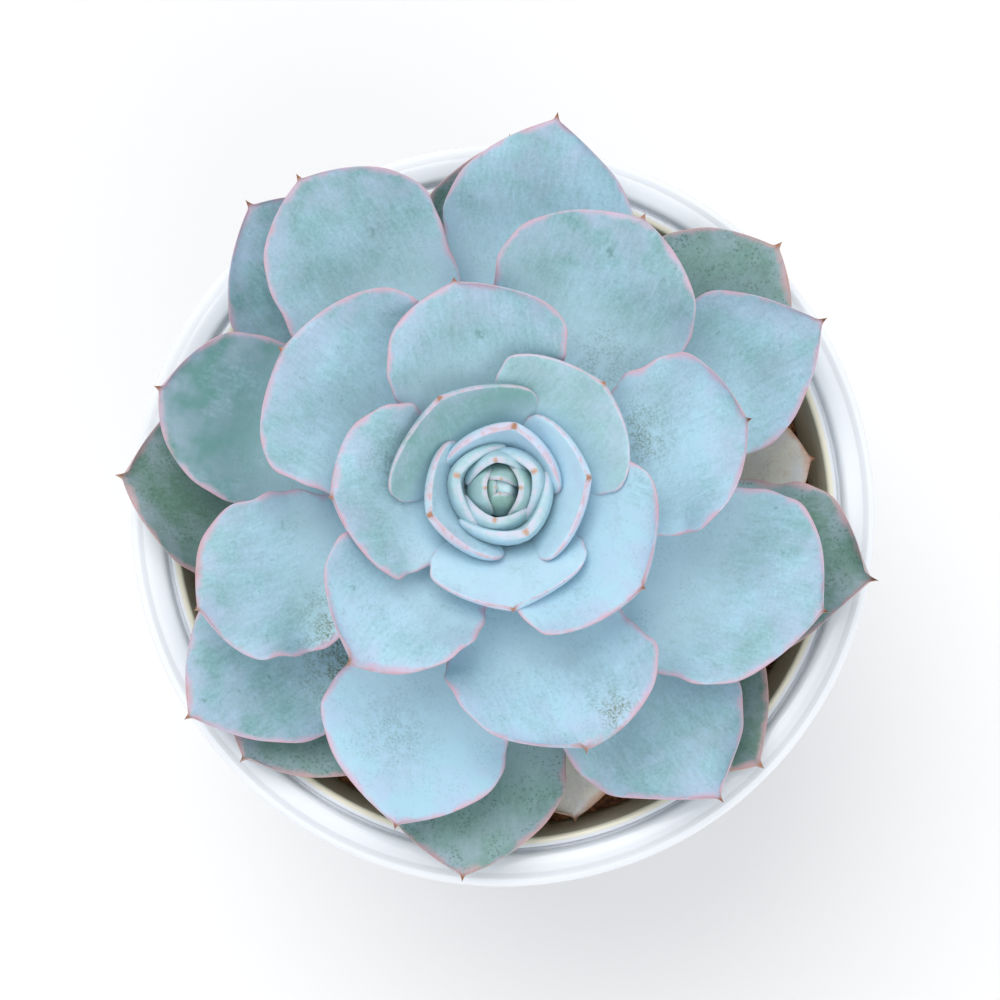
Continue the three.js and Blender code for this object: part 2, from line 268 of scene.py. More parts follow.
def foot_height(leaf):
    """Old feet are stacked a third of a foot and its gap apart, young ones closer."""
    pitch, young_pitch = ((t + LEAF_GAP) / 3 for t in (FOOT_THICKNESS, YOUNG_FOOT))
    lowest = SOIL_TOP + FOOT_THICKNESS / 2 + 2 * LEAF_GAP
    full = LEAF_COUNT - max(leaf, TAPER_COUNT + 1)
    return lowest + full * pitch + max(TAPER_COUNT + 1 - leaf, 0) * young_pitch


def old_leaf_rise():
    """How far an old leaf rises on its way out, so that the lowest one clears the rim."""
    length = ROSETTE_REACH - STEM_RADIUS
    run = RIM_RADIUS - RIM_BAND - STEM_RADIUS
    sag = 4 * OLD_BOW * length * (run / length) * (1 - run / length)
    crossing = POT_HEIGHT + RIM_CLEARANCE + LEAF_THICKNESS / 4 + sag
    return length * (crossing - foot_height(LEAF_COUNT - WITHERED_COUNT)) / run


def leaf_plan(leaf):
    """The leaf's measures, from its age in the spiral: each is a smooth step, a bell or a
    fading exponential of the age. Millimetres, or shares of the length."""
    age = leaf - 1
    withered = leaf > LEAF_COUNT - WITHERED_COUNT
    grown = 1 / (1 + math.exp(-(age - 17.6) / 4.4))
    width_share = 1 - math.exp(-(((age + 0.5) / 9.6) ** 1.9))
    mature = ease(age, 14, 24)
    foot_thickness = (
        mix(BUD_THICKNESS, YOUNG_FOOT, ease(age, 0, 14))
        + (FOOT_THICKNESS - YOUNG_FOOT) * mature
    )
    stem_here = mix(STEM_TIP, STEM_RADIUS, min(age / TAPER_COUNT, 1))
    foot = np.array([stem_here + LEAF_GAP + foot_thickness / 4, foot_height(leaf)])
    azimuth = math.radians(FIRST_AZIMUTH + SPIRAL_TURN * age + turn_nudges[age])
    tip = np.array([
        ROSETTE_REACH * grown + reach_nudges.get(leaf, 0) + extra_reach.get(leaf, 0)
        + YOUNG_REACH * bell(age, 5.5, 3.2),
        foot[1] + old_leaf_rise() + MIDDLE_RISE * bell(age, 16.5, 6.5)
        - BUD_SINK * bell(age, 0, 3.2),
    ])
    if withered:
        offset = PLANT_X * math.cos(azimuth) + PLANT_Y * math.sin(azimuth)
        tip[1] = foot[1] + WITHERED_RISE
        tip[0] = inner_wall(tip[1]) - WALL_CLEARANCE - offset
    blunt = BLUNT if leaf in blunt_leaves else POINTED if leaf in pointed_leaves else PLAIN
    return {
        "leaf": leaf, "age": age, "withered": withered, "azimuth": azimuth,
        "foot": foot, "tip": tip, "length": float(np.hypot(*(tip - foot))),
        "half_width": (
            (WITHERED_HALF_WIDTH if withered else LEAF_HALF_WIDTH * width_share)
            * width_shares.get(leaf, 1)
            + BUD_WIDENING * math.exp(-age / 2.2) + YOUNG_WIDENING * bell(age, 3.2, 2.6)
        ),
        "fullness": side_fullness.get(leaf, (0, 0)),
        "keel": 0.3 * bell(age, 8, 5),
        "uncurl": 1 - 0.45 * bell(age, 13, 3.5),
        "lean": end_leans.get(leaf, 0),
        "waviness": waviness.get(leaf, 1),
        "blunt": blunt,
        "bow": OLD_BOW + 0.09 * bell(age, 2, 7) - 0.13 * bell(age, 17.5, 6),
        "hood": 0.16 * (1 - ease(age, 4, 11)) + 0.5 * (1 - ease(age, 0, 5)),
        "cup": (1.6 + 2 * bell(age, 19, 6)) * ease(age, 13, 20),
        "foot_thickness": foot_thickness,
        "middle_thickness": 1.2 + 1.1 * ease(age, 1, 9) + 1.0 * mature,
        "thinning": 0.8 - 0.35 * (1 - ease(age, 7, 16)),
        "full_margin": 1 - ease(age, 9, 26),
    }


plans = [leaf_plan(leaf) for leaf in range(1, LEAF_COUNT + 1)]
print("leaf lengths, mm:", [round(plan["length"]) for plan in plans])

# %% [markdown]
# ## A leaf's shape
# Each leaf is a spoon: a narrow foot opens to a broad blade that is widest past its middle
# and ends in a small soft spine. The blade's surface is worked out in two steps. First the
# middle sheet: the midrib is a parabola, and each section across it is an arc. Then the
# flesh: the face and the back stand off that sheet by half the thickness, which swells at
# the midrib and closes in a thin rounded margin.


# %% Outline and thickness
BLADE_END = 0.978  # where the blade ends and the spine goes on
FOOT_SHARE = 0.25  # half width of the foot, as a share of the widest
UNEVENNESS = 0.024  # swing of the slow sines, as a share of the half width
SPINE_HALF_WIDTH = 1.0  # millimetres, at the spine's root
ROUND_FROM = 0.88  # where the flesh starts to round off to the end


def outline(plan, along, side):
    """Half width in millimetres on one side, +1 counter-clockwise and -1 clockwise. Up to
    the widest place a sine opens the wedge; past it the blade closes as (1 - t^p)^q to a
    round end. The spine is a cone that adds to it by the fourth root of the sum of fourth
    powers, which rounds the corner between the two. A fuller side is wider and squarer past
    its middle, and slow sines make it uneven."""
    extra = np.where(side > 0, *plan["fullness"])
    opening = np.sin(np.pi / 2 * np.clip(along / WIDEST_AT, 0, 1)) ** 1.4
    wedge = mix(FOOT_SHARE, 1, opening)
    to_end = np.clip((along - WIDEST_AT) / (BLADE_END - WIDEST_AT), 0, 1)
    blunt = np.clip(plan["blunt"] + 0.16 * extra, 0, 1.1)
    power, root = mix(1.65, 2.8, blunt), mix(0.95, 0.72, blunt)
    closing = (1 - to_end**power) ** root
    uneven = np.sin(2 * np.pi * 1.6 * along + plan["leaf"] * 2.1 + 1.9 * side)
    uneven = uneven + 0.6 * np.sin(2 * np.pi * 3.7 * along + plan["leaf"] - side)
    uneven = uneven + 0.35 * np.sin(2 * np.pi * 8.3 * along + 3 * plan["leaf"] + side)
    amount = UNEVENNESS * plan["waviness"] * ease(plan["age"], 9, 18)
    uneven = amount * uneven * ease(along, 0.3, 0.5)
    full = plan["half_width"] * (1 + uneven) + extra * bell(along, 0.8, 0.25)
    blade = full * np.where(along < WIDEST_AT, wedge, closing)
    small = min(1.0, plan["half_width"] / 8)
    to_point = np.clip((1 - along) / (1 - BLADE_END + 0.02), 0, 1)
    spine = SPINE_HALF_WIDTH * small * to_point**1.2 * ease(along, 0.8, 0.9)
    return (blade**4 + spine**4) ** 0.25


def thickness(plan, along):
    """Grows from the foot's to the middle's, then thins by most of it towards the tip,
    where a quarter of an ellipse rounds the end."""
    fleshy = mix(plan["foot_thickness"], plan["middle_thickness"], ease(along, 0, 0.35))
    rounding = np.sqrt(1 - np.clip((along - ROUND_FROM) / (1 - ROUND_FROM), 0, 0.98) ** 2)
    return fleshy * rounding * (1 - plan["thinning"] * ease(along, 0.5, 1))


grown_plan = plans[29]
print("leaf 30 is", round(float(thickness(grown_plan, 0.5)), 2), "mm thick half way along")

# %% [markdown]
# ## From outline to closed skin
# A flat outline would give a paper leaf, so the sheet is bent along its midrib and curled
# across it: young leaves wrap round the bud, old ones open to a shallow cup. Waves, a raised
# lip and a fold at the midrib are added to the sheet before the flesh goes on.


# %% Middle sheet, and the skin round it
GROWN_GRID, BUD_GRID = (84, 72), (48, 40)  # rows and columns of points
RIPPLE, LIP = 0.065, 0.035  # heights at the margin, as shares of the half width
MARGIN_HALF = 0.25  # half the margin's thickness, in millimetres


def midrib(plan, along):
    """A quadratic Bezier curve from foot to tip whose handle hangs below the chord.
    Gives radius, height and the unit tangent."""
    foot, tip = plan["foot"], plan["tip"]
    chord = tip - foot
    handle = foot + chord / 2 + np.array([chord[1], -chord[0]]) * 2 * plan["bow"]
    t = along[..., None]
    point = (1 - t) ** 2 * foot + 2 * t * (1 - t) * handle + t**2 * tip
    slope = 2 * (1 - t) * (handle - foot) + 2 * t * (tip - handle)
    return point, slope / np.linalg.norm(slope, axis=-1, keepdims=True)


def ripple(plan, along, across):
    """Height of the waves along the margins, in millimetres: two sines of the length, out
    of step on the two sides, that fade towards the midrib as |across|^3."""
    rng = np.random.default_rng(100 + plan["leaf"])
    strength, beats, start = rng.uniform(0.6, 1.2), rng.uniform(1.1, 1.9), rng.uniform(0, 6.3)
    side = np.where(across > 0, 1.7, 0)
    waves = np.sin(2 * np.pi * beats * along + start + side)
    waves = waves + 0.6 * np.sin(2 * np.pi * 2.3 * beats * along + 2 * start - side)
    height = RIPPLE * plan["half_width"] * plan["waviness"] * strength
    height = height * ease(plan["age"], 10, 20)
    return height * waves * np.abs(across) ** 3 * ease(along, 0.25, 0.6)


def leaf_points(plan, rows, columns):
    """The closed grid, then along, across and the half width at its points. Across runs
    round the section as the cosine of an angle, so points gather at the margins; the sine's
    sign says face or back. Along is 1 - (1 - s)^1.8, so rows gather at the spine."""
    along = (1 - (1 - np.arange(rows) / rows) ** 1.8)[:, None]
    angle = (np.arange(columns) * 2 * np.pi / columns)[None, :]
    across, side = np.cos(angle), np.sign(np.sin(angle).round(9))
    point, tangent = midrib(plan, along)
    hooding = plan["hood"] * plan["tip"][0] * ease(along, 0.55, 1.05) ** 1.5
    radius, height = point[..., 0] - hooding, point[..., 1]
    forward, upward = tangent[..., 0], tangent[..., 1]
    width = outline(plan, along, np.where(across < 0, -1, 1))
    round_stem = np.maximum(upward, 0) / np.maximum(radius, 0.6)
    round_stem = round_stem * plan["uncurl"]
    curl_radius = 1 / (round_stem + 2 * plan["cup"] / plan["half_width"] ** 2 + 1e-4)
    curl = np.clip(across * width / curl_radius, -1.7, 1.7)
    lip = LIP * plan["half_width"] * np.abs(across) ** 8 * ease(along, 0.3, 0.7)
    fold = plan["keel"] * (np.hypot(across * width, 0.25 * width) - 0.25 * width)
    lift = curl_radius * (1 - np.cos(curl)) + ripple(plan, along, across) + lip + fold
    full = plan["full_margin"]
    swell = (1 - np.abs(across) ** mix(2.6, 4, full)) ** mix(0.75, 0.5, full)
    flesh = thickness(plan, along) / 2 * swell
    margin = MARGIN_HALF * min(1, plan["half_width"] / 9) * np.sqrt(1 - np.abs(across) ** 10)
    half = side * (flesh + margin * ease(1 - along, 0, 0.03))
    lean = plan["lean"] * ease(along, 0.45, 1)
    return np.stack(
        np.broadcast_arrays(
            radius - upward * lift - upward * np.cos(curl) * half,
            curl_radius * np.sin(curl) + lean - np.sin(curl) * half,
            height + forward * lift + forward * np.cos(curl) * half,
        ),
        -1,
    ), along, across, width


print("grid of one grown leaf:", leaf_points(grown_plan, *GROWN_GRID)[0].shape)

# %% [markdown]
# ## What the material needs to know
# A leaf's colours follow its shape: pink along the margin, brown at the spine. So each point
# stores its distance to the margin, its share of the length and its place on the leaf laid
# flat, and the material reads them as attributes. A pattern drawn by these stays on the leaf
# at any angle, with no unwrapping. Each leaf also carries its own amount of wax, with painted
# shade or light on some, and bruises.

# %% Leaves, with a number for everything their material reads
# How much more or less wax a leaf carries than its neighbours: partly real wax, partly painted
# shade or light on leaves that lie in shade or light
wax_and_shade_nudges = {
    1: -0.4, 2: -0.4, 3: -0.35, 4: -0.25, 5: -0.2, 11: 0.2, 13: 0.3, 14: -0.7, 15: 0.2,
    16: -0.35, 17: -0.2, 18: 0.15, 19: -0.25, 22: -0.2, 24: -0.4, 25: -0.25, 26: -0.2,
    27: -0.4, 28: 0.5, 29: -0.3, 30: -0.9, 31: -0.3, 32: -0.1, 33: -0.35, 34: -0.2,
    35: -0.4, 36: 0.15, 37: 0.15, 38: -0.35, 39: -0.45,
}
# Rubbed or bruised spots: leaf, then millimetres off the midrib (counter-clockwise is
# positive), share of the length, radius in millimetres and strength
rubbed_spots = {
    17: (-5, 0.62, 6, 0.7), 20: (3, 0.35, 5, 0.6), 21: (4, 0.55, 6, 0.8), 23: (6, 0.88, 3.5, 1),
    25: (10, 0.58, 6, 1.0), 28: (-4, 0.72, 6, 0.5), 29: (0, 0.5, 6, 0.5), 33: (8, 0.5, 8, 1.4),
    35: (0, 0.7, 9, 0.6), 24: (-5, 0.5, 6, 0.5), 22: (3, 0.45, 5, 0.5), 39: (2, 0.75, 8, 0.6),
}


LAID_APART = 60  # millimetres between laid-out leaves, so that no two share a pattern


def margin_distance(plan, along, across, width):
    """Millimetres to the nearest point of the outline, on the leaf laid flat."""
    x, y = along * plan["length"], np.abs(across) * width
    edge = np.linspace(0.2, 1, 160)[None, None, :]
    side = np.where(across < 0, -1, 1)[..., None]
    across_gap = y[..., None] - outline(plan, edge, side)
    return np.hypot(x[..., None] - edge * plan["length"], across_gap).min(-1)


def make_leaf(plan, rows, columns):
    """Builds one leaf in the plane of its azimuth, then turns it into its place."""
    grid, along, across, width = leaf_points(plan, rows, columns)
    cos, sin = math.cos(plan["azimuth"]), math.sin(plan["azimuth"])
    turn = np.array([[cos, sin, 0], [-sin, cos, 0], [0, 0, 1]])  # rows, so it goes on the right
    centre = np.array([PLANT_X, PLANT_Y, 0])
    foot = np.array([plan["foot"][0] - 0.8, 0, plan["foot"][1]])
    tip = np.array([plan["tip"][0] * (1 - plan["hood"] * 0.9), plan["lean"], plan["tip"][1]])
    piece = tube(
        f"rosette_leaf_{plan['leaf']:02d}",
        (grid @ turn + centre) * MM,
        (foot @ turn + centre) * MM,
        (tip @ turn + centre) * MM,
    )
    margin = margin_distance(plan, along, across, width)
    shape = grid.shape[:2]
    laid_x = np.broadcast_to(across * width, shape)
    laid_y = np.broadcast_to(along * plan["length"], shape)
    # the last two numbers of each are for the poles, at the foot and at the tip
    set_attribute(piece, "margin", np.append(margin, [3, 0]))
    set_attribute(piece, "along", np.append(np.broadcast_to(along, shape), [0, 1]))
    set_attribute(piece, "laid_x", np.append(laid_x, [0, 0]) + LAID_APART * plan["leaf"])
    set_attribute(piece, "laid_y", np.append(laid_y, [0, plan["length"]]))
    # painted shade: the nudge darkens or lightens the whole leaf, partly for its wax and partly
    # for the shade or light it lies in
    wax_and_shade = wax_and_shade_nudges.get(plan["leaf"], 0)
    set_attribute(piece, "wax_and_shade", np.full(len(piece.data.vertices), wax_and_shade))
    off_midrib, share, spread, strength = rubbed_spots.get(plan["leaf"], (0, 0, 1, 0))
    apart = np.hypot(laid_x - off_midrib, laid_y - share * plan["length"])
    set_attribute(piece, "spots", np.append(strength * bell(apart, 0, spread), [0, 0]))
    return piece


BUD_UNTIL = 10  # the age at which a leaf no longer belongs to the bud
leaves = {
    plan["leaf"]: make_leaf(plan, *(BUD_GRID if plan["age"] < BUD_UNTIL else GROWN_GRID))
    for plan in plans
}
print("leaf faces:", sum(len(piece.data.polygons) for piece in leaves.values()))

# %% [markdown]
# ## Growing tip
# In the very middle the youngest leaves are still joined in one soft green bud. A small
# dome stands there, so that no dark hole opens between them.

# %% Growing tip
BUD_RADIUS, BELOW_TIP = 3.0, 1.5  # millimetres; the dome's top is below the youngest tip
BUD_FOOT_LEAF = 12  # the dome stands as low as this leaf's foot
TIP_ROWS, TIP_COLUMNS = 16, 32
tip_rows = np.linspace(0, 1, TIP_ROWS)[:, None]
tip_turn = (np.arange(TIP_COLUMNS) * 2 * np.pi / TIP_COLUMNS)[None, :]
bud_top = plans[0]["tip"][1] - BELOW_TIP
bud_height = mix(foot_height(BUD_FOOT_LEAF), bud_top, np.sin(tip_rows * np.pi / 2))
bud_radius = BUD_RADIUS * np.cos(tip_rows * np.pi / 2 * 0.97) ** 0.5
bud = tube(
    "growing_tip",
    np.stack(np.broadcast_arrays(
        PLANT_X + bud_radius * np.cos(tip_turn), PLANT_Y + bud_radius * np.sin(tip_turn),
        bud_height,
    ), -1) * MM,
    np.array([PLANT_X, PLANT_Y, bud_height[0, 0]]) * MM,
    np.array([PLANT_X, PLANT_Y, bud_top]) * MM,
)
bud_values = {"margin": 5, "along": 0.3, "laid_x": 0, "laid_y": 0, "wax_and_shade": -0.6, "spots": 0}
for label, value in bud_values.items():
    set_attribute(bud, label, np.full(len(bud.data.vertices), value))
print("growing tip faces:", len(bud.data.polygons))

# %% [markdown]
# ## Helpers for materials
# A material is a small graph of nodes. These helpers add a node, set its plain inputs and
# join the linked ones, so that each finish below reads as a short list of steps.


# %% Node helpers
def srgb(red, green, blue):
    """A colour given as it looks on screen, 0 to 255, as the linear values of a shader."""
    c = np.array([red, green, blue]) / 255
    linear = np.where(c <= 0.04045, c / 12.92, ((c + 0.055) / 1.055) ** 2.4)
    return (*(float(v) for v in linear), 1.0)


def put(socket, value):
    """Sets an input socket: a link if the value is a socket, a plain value if not."""
    if isinstance(value, bpy.types.NodeSocket):
        socket.id_data.links.new(value, socket)
    else:
        socket.default_value = value


def add(tree, kind, inputs=(), **settings):
    """A new node of that kind. inputs maps an input's name or number to a value or socket."""
    made = tree.nodes.new("ShaderNode" + kind)
    for key, value in settings.items():
        setattr(made, key, value)
    for key, value in dict(inputs).items():
        put(made.inputs[key], value)
    return made


def math_node(tree, operation, first, *others):
    """Math nodes in a row, which take in each of the other values in turn."""
    for other in others:
        first = add(tree, "Math", {0: first, 1: other}, operation=operation).outputs[0]
    return first


def swing(tree, value, size):
    """(value - 0.5) * size: a pattern of 0 to 1 made to swing about zero."""
    return math_node(tree, "MULTIPLY", math_node(tree, "SUBTRACT", value, 0.5), size)


def blend_colors(tree, share, low, high):
    """Colour low where share is 0, high where it is 1."""
    made = add(tree, "Mix", {0: share}, data_type="RGBA")
    put(made.inputs[6], low)
    put(made.inputs[7], high)
    return made.outputs[2]


def span(tree, value, low, high, to_low=0.0, to_high=1.0):
    """Smooth step of a value from low to high, onto to_low to to_high."""
    return add(
        tree, "MapRange",
        {"Value": value, "From Min": low, "From Max": high, "To Min": to_low, "To Max": to_high},
        interpolation_type="SMOOTHSTEP",
    ).outputs[0]


def noise(tree, where, scale, detail=3.0, roughness=0.55):
    """Cloudy noise from 0 to 1. The scale is the number of its cells in one unit."""
    inputs = {"Vector": where, "Scale": scale, "Detail": detail, "Roughness": roughness}
    return add(tree, "TexNoise", inputs).outputs["Fac"]


def stored(tree, name):
    """A number that set_attribute stored at each point."""
    return add(tree, "Attribute", attribute_name=name).outputs["Fac"]


def new_material(name):
    """An empty material with a Principled BSDF, and that shader."""
    material = bpy.data.materials.new(name)
    material.use_nodes = True
    return material, material.node_tree.nodes["Principled BSDF"]


def new_group(name, inputs, outputs):
    """A shader node group. inputs are (name, kind, default), outputs (name, kind)."""
    group = bpy.data.node_groups.new(name, "ShaderNodeTree")
    for label, kind, default in inputs:
        socket = group.interface.new_socket(label, in_out="INPUT", socket_type=kind)
        socket.default_value = default
    for label, kind in outputs:
        group.interface.new_socket(label, in_out="OUTPUT", socket_type=kind)
    return group, group.nodes.new("NodeGroupInput"), group.nodes.new("NodeGroupOutput")


COLOR, FLOAT = "NodeSocketColor", "NodeSocketFloat"
print("a mid grey, 128 of 255, is", round(srgb(128, 128, 128)[0], 3), "in a shader")

# %% [markdown]
# ## Leaf skin
# The skin is green, but a powdery wax lies over it and turns it pale blue. The lower half is
# painted paler, with more wax and a lighter bloom: painted light that offsets the shade under
# the leaves above. On the open blade the wax thins in blotches and strokes, and fine dark
# pores show in patches. Some leaves have a bruised spot, where the wax is scratched to specks
# of dark skin. The blade blushes lavender towards its end, the margin is a thin pink line with
# coral stretches, and the spine dries to brown. One group makes all of this from the stored
# numbers, and each age of leaf places it with its own colours.


# %% Leaf skin node group
# Noise scales of the patterns, in cells per millimetre of leaf
BLOTCH, PATCH, RUB, STROKE, GRAIN, PORE, SPECK = 0.11, 0.25, 0.35, 1.3, 1.8, 1.9, 2.4
CORAL_STRETCH, BLUSH_PATCH, WANDER, DENT, CLUMP = 0.09, 0.2, 0.28, 0.3, 0.5
DRY_FROM, DRY_TO = 0.972, 0.99  # the share of the length where the spine turns brown


def leaf_skin_group():
    """The group: colour, roughness and height from the stored numbers and patterns."""
    group, given, result = new_group(
        "waxy_leaf_skin",
        [("Wax", COLOR, srgb(176, 206, 226)), ("Skin", COLOR, srgb(110, 155, 155)),
         ("Blush", COLOR, srgb(178, 186, 216)), ("Margin", COLOR, srgb(224, 184, 198)),
         ("Coral", COLOR, srgb(200, 130, 120)), ("Dry", COLOR, srgb(160, 105, 72)),
         ("Wax Cover", FLOAT, 0.8), ("Blush Amount", FLOAT, 0.4), ("Pores", FLOAT, 0.3),
         ("Margin Width", FLOAT, 1.0), ("Blotches", FLOAT, 1.25)],
        [("Color", COLOR), ("Roughness", FLOAT), ("Height", FLOAT)],
    )
    g = given.outputs
    margin, along = stored(group, "margin"), stored(group, "along")
    laid = add(
        group, "CombineXYZ", {"X": stored(group, "laid_x"), "Y": stored(group, "laid_y")}
    ).outputs[0]

    # how much wax lies on the skin; the lower half gets more cover, painted light that offsets
    # the shade under the leaves above
    broad, fine = noise(group, laid, BLOTCH, 3), noise(group, laid, GRAIN, 5, 0.7)
    brushed = add(group, "Mapping", {"Vector": laid, "Scale": (1, 0.3, 1)}).outputs[0]
    strokes = noise(group, brushed, STROKE, 6, 0.7)
    rubbed = span(group, noise(group, laid, RUB, 6, 0.7), 0.6, 0.72, 0, 0.5)
    cover = math_node(
        group, "ADD", g["Wax Cover"], span(group, along, 0.15, 0.65, 0.12, -0.02),
        swing(group, broad, g["Blotches"]), swing(group, fine, 0.8),
        swing(group, strokes, 0.9), stored(group, "wax_and_shade"),
    )
    cover = math_node(group, "SUBTRACT", cover, rubbed)
    cover = add(group, "Clamp", {"Value": cover}).outputs[0]
    color = blend_colors(group, cover, g["Skin"], g["Wax"])
    # painted light: towards the foot the colour is blended to a paler bloom, to offset the shade
    # under the leaves above
    painted_light_bloom = blend_colors(group, 0.5, g["Wax"], srgb(222, 244, 252))
    color = blend_colors(group, span(group, along, 0.45, 0.78, 0.8, 0.0), color, painted_light_bloom)

    # blush towards the end and the margins
    end = span(group, along, 0.45, 1.0)
    near_margin = span(group, margin, 5.0, 0.0, 0.0, 0.6)
    patchy = span(group, noise(group, laid, BLUSH_PATCH, 2), 0.35, 0.65)
    blush = math_node(group, "ADD", end, near_margin)
    blush = math_node(group, "MULTIPLY", blush, g["Blush Amount"], patchy)
    color = blend_colors(group, blush, color, g["Blush"])

    # pores: small dark dots in patches
    dots = add(group, "TexVoronoi", {"Vector": laid, "Scale": PORE}).outputs["Distance"]
    dot = span(group, dots, 0.48, 0.2)
    pore = blend_colors(group, 0.3, g["Skin"], srgb(30, 52, 48))
    patches = span(group, noise(group, laid, PATCH, 4, 0.6), 0.38, 0.62)
    dot = math_node(group, "MULTIPLY", dot, patches, g["Pores"])
    color = blend_colors(group, dot, color, pore)

    # rubbed spots: the wax is scratched to specks of dark skin, browner where it is worst
    specks = span(group, noise(group, laid, SPECK, 8, 0.85), 0.44, 0.58)
    clumps = span(group, noise(group, laid, CLUMP, 3, 0.6), 0.36, 0.56)
    spots = stored(group, "spots")
    scar = blend_colors(group, spots, srgb(88, 130, 130), srgb(104, 116, 88))
    amount = math_node(group, "MULTIPLY", specks, clumps, spots)
    color = blend_colors(group, amount, color, scar)

    # margin line, coral stretches and the dry spine
    wander = noise(group, laid, WANDER, 3)
    widening = span(group, wander, 0.3, 0.7, 0.45, 1.5)
    line_width = math_node(group, "MULTIPLY", g["Margin Width"], widening)
    share = math_node(group, "DIVIDE", margin, line_width)
    line = span(group, share, 1.0, 0.1)
    stretch = span(group, noise(group, laid, CORAL_STRETCH, 3, 0.6), 0.55, 0.7)
    coral = math_node(group, "MULTIPLY", stretch, span(group, along, 0.6, 1.0, 0.0, 0.7))
    line_color = blend_colors(group, coral, g["Margin"], g["Coral"])
    band = math_node(group, "MULTIPLY", line, span(group, wander, 0.3, 0.6, 0.3, 0.75))
    color = blend_colors(group, band, color, line_color)
    rim = blend_colors(group, 0.45, line_color, g["Dry"])
    color = blend_colors(group, span(group, share, 0.25, 0.05, 0.0, 0.6), color, rim)
    dry = span(group, along, DRY_FROM, DRY_TO)
    color = blend_colors(group, dry, color, g["Dry"])

    put(result.inputs["Color"], color)
    put(result.inputs["Roughness"], span(group, cover, 0.2, 0.9, 0.42, 0.62))
    dents = math_node(group, "MULTIPLY", noise(group, laid, DENT, 4, 0.5), 3.0)
    powder = math_node(group, "MULTIPLY", fine, 0.5)
    scratches = math_node(group, "MULTIPLY", strokes, 0.7)
    powder = math_node(group, "ADD", powder, scratches)
    put(result.inputs["Height"], math_node(group, "ADD", dents, powder))
    return group


leaf_skin = leaf_skin_group()
print("leaf skin nodes:", len(leaf_skin.nodes))

# %% [markdown]
# ## Five ages of leaf
# The bud's leaves are smooth and pale green, young ones the palest blue, grown ones a deeper
# blue with a clear pink margin. Old leaves have lost most wax and look green and freckled,
# and the withered ones are papery. They share the one skin group and differ in its inputs.


# %% The five ages of leaf
def leaf_material(name, **values):
    """A fleshy, slightly translucent leaf under its wax. values sets the group's inputs.
    What is the same all over is set on the shader itself."""
    material, shader = new_material(name)
    tree = material.node_tree
    skin = tree.nodes.new("ShaderNodeGroup")
    skin.node_tree = leaf_skin
    for label, value in values.items():
        put(skin.inputs[label.replace("_", " ")], value)
    relief = {"Height": skin.outputs["Height"], "Distance": 0.08 * MM, "Strength": 0.6}
    bump = add(tree, "Bump", relief)
    put(shader.inputs["Base Color"], skin.outputs["Color"])
    put(shader.inputs["Roughness"], skin.outputs["Roughness"])
    put(shader.inputs["Normal"], bump.outputs[0])
    put(shader.inputs["Subsurface Weight"], 0.12)
    put(shader.inputs["Subsurface Radius"], (0.6, 1.0, 0.8))
    put(shader.inputs["Subsurface Scale"], 1.2 * MM)
    put(shader.inputs["Specular IOR Level"], 0.35)
    put(shader.inputs["Sheen Weight"], 0.12)
    put(shader.inputs["Sheen Roughness"], 0.6)
    return material


finishes = {
    "leaf_bud": leaf_material(
        "bud_leaf", Wax=srgb(176, 210, 226), Skin=srgb(140, 180, 160), Wax_Cover=0.72,
        Blush_Amount=0.14, Pores=0.05, Margin=srgb(208, 200, 218), Margin_Width=0.14,
        Coral=srgb(210, 200, 212), Dry=srgb(200, 164, 146),
    ),
    "leaf_young": leaf_material(
        "young_leaf", Wax=srgb(180, 214, 230), Skin=srgb(124, 168, 166), Wax_Cover=0.82,
        Blush_Amount=0.22, Pores=0.08, Margin=srgb(206, 186, 206), Margin_Width=0.32,
        Coral=srgb(204, 168, 176), Dry=srgb(180, 126, 98),
    ),
    "leaf_grown": leaf_material(
        "grown_leaf", Wax=srgb(165, 203, 220), Skin=srgb(96, 142, 140), Wax_Cover=0.86,
        Blush_Amount=0.33, Pores=0.15, Margin=srgb(204, 168, 190), Margin_Width=0.85,
    ),
    "leaf_old": leaf_material(
        "old_leaf", Wax=srgb(134, 168, 166), Skin=srgb(86, 120, 105), Wax_Cover=0.5,
        Blush_Amount=0.22, Pores=0.6, Blotches=0.7, Margin=srgb(196, 158, 166),
        Coral=srgb(186, 122, 94),
    ),
    "leaf_withered": leaf_material(
        "withered_leaf", Wax=srgb(236, 234, 226), Skin=srgb(208, 196, 178), Wax_Cover=0.6,
        Blush_Amount=0.2, Pores=0.3, Margin=srgb(200, 150, 120),
    ),
}


YOUNG_UNTIL, GROWN_UNTIL = 16, 31  # ages
WAXY_OLD_LEAVES = (32, 33, 35)


def slot_of(plan):
    """The record's material slot for a leaf of that age."""
    age = plan["age"]
    if plan["withered"]:
        return "leaf_withered"
    return "leaf_bud" if age < BUD_UNTIL else "leaf_grown" if age < GROWN_UNTIL else "leaf_old"


def finish_of(plan):
    """Young leaves are paler than grown ones, and three old ones have kept their wax."""
    if BUD_UNTIL <= plan["age"] < YOUNG_UNTIL:
        return "leaf_young"
    return "leaf_grown" if plan["leaf"] in WAXY_OLD_LEAVES else slot_of(plan)


for plan in plans:
    piece, slot = leaves[plan["leaf"]], slot_of(plan)
    piece.data.materials.append(finishes[finish_of(plan)])
    place(piece, slot, f"leaf_{plan['leaf']:02d}")
bud.data.materials.append(finishes["leaf_bud"])
place(bud, "leaf_bud")
print("leaf finishes:", sorted(finishes))

# %% [markdown]
# ## The pot
# A thin-walled nursery pot is blown or moulded in one piece, so it is one profile turned
# about its axis: foot, tapered wall, hanging rim band, a groove and a narrow ledge inside
# it, the inner wall and the floor. Small fillets at every corner catch the light.


